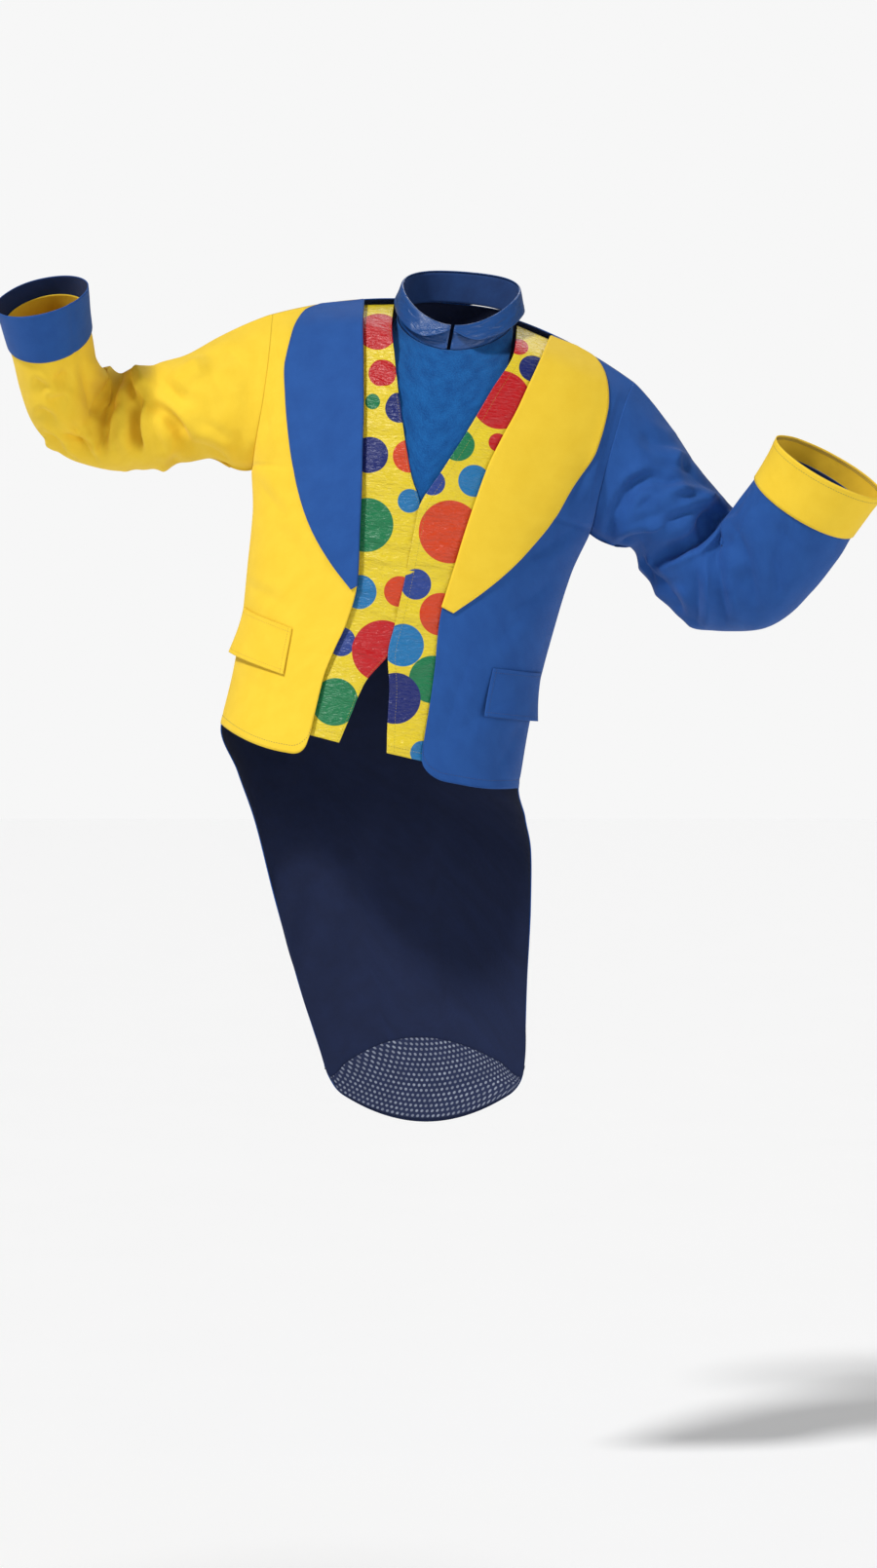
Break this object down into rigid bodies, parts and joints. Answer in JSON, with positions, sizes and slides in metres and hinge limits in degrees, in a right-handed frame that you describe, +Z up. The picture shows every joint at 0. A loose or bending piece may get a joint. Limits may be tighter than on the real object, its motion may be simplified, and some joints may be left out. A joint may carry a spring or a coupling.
{
  "type": "clown tailcoat",
  "caption": "Two-coloured clown tailcoat as worn, with contrast lapels and cuffs, a dotted mock waistcoat, a shirt front and collar, and one long rounded tail.",
  "frame": {"origin": "between the wearer's shoulders at the base of the neck", "axes": "+X towards the wearer's left, +Y towards the wearer's back, +Z up; the coat leans to +X at the top by 10.7 degrees"},
  "size_m": [1.0641, 0.2809, 1.0513],
  "materials": {
    "yellow_cloth": "matt yellow polyester twill with topstitched edges",
    "blue_cloth": "matt royal blue polyester twill with topstitched edges",
    "dotted_satin": "shiny yellow satin printed with large dots in red, green, navy and light blue",
    "brushed_blue": "brushed napped blue cloth",
    "blue_satin": "soft blue satin",
    "tail_facing": "navy cloth stiffened with a dotted fusible backing"
  },
  "bodies": {
    "root": {"right_front": "yellow_cloth", "left_front": "blue_cloth", "back": "blue_cloth", "tail_facing": "tail_facing", "right_sleeve": "yellow_cloth", "right_sleeve_lower": "yellow_cloth", "right_cuff": "blue_cloth", "left_sleeve": "blue_cloth", "left_cuff": "yellow_cloth", "right_lapel": "blue_cloth", "left_lapel": "yellow_cloth", "right_waistcoat": "dotted_satin", "left_waistcoat": "dotted_satin", "shirt_front": "brushed_blue", "collar_stand": "blue_satin", "collar_fall": "blue_satin", "right_pocket_flap": "yellow_cloth", "left_pocket_flap": "blue_cloth"}
  },
  "joints": []
}
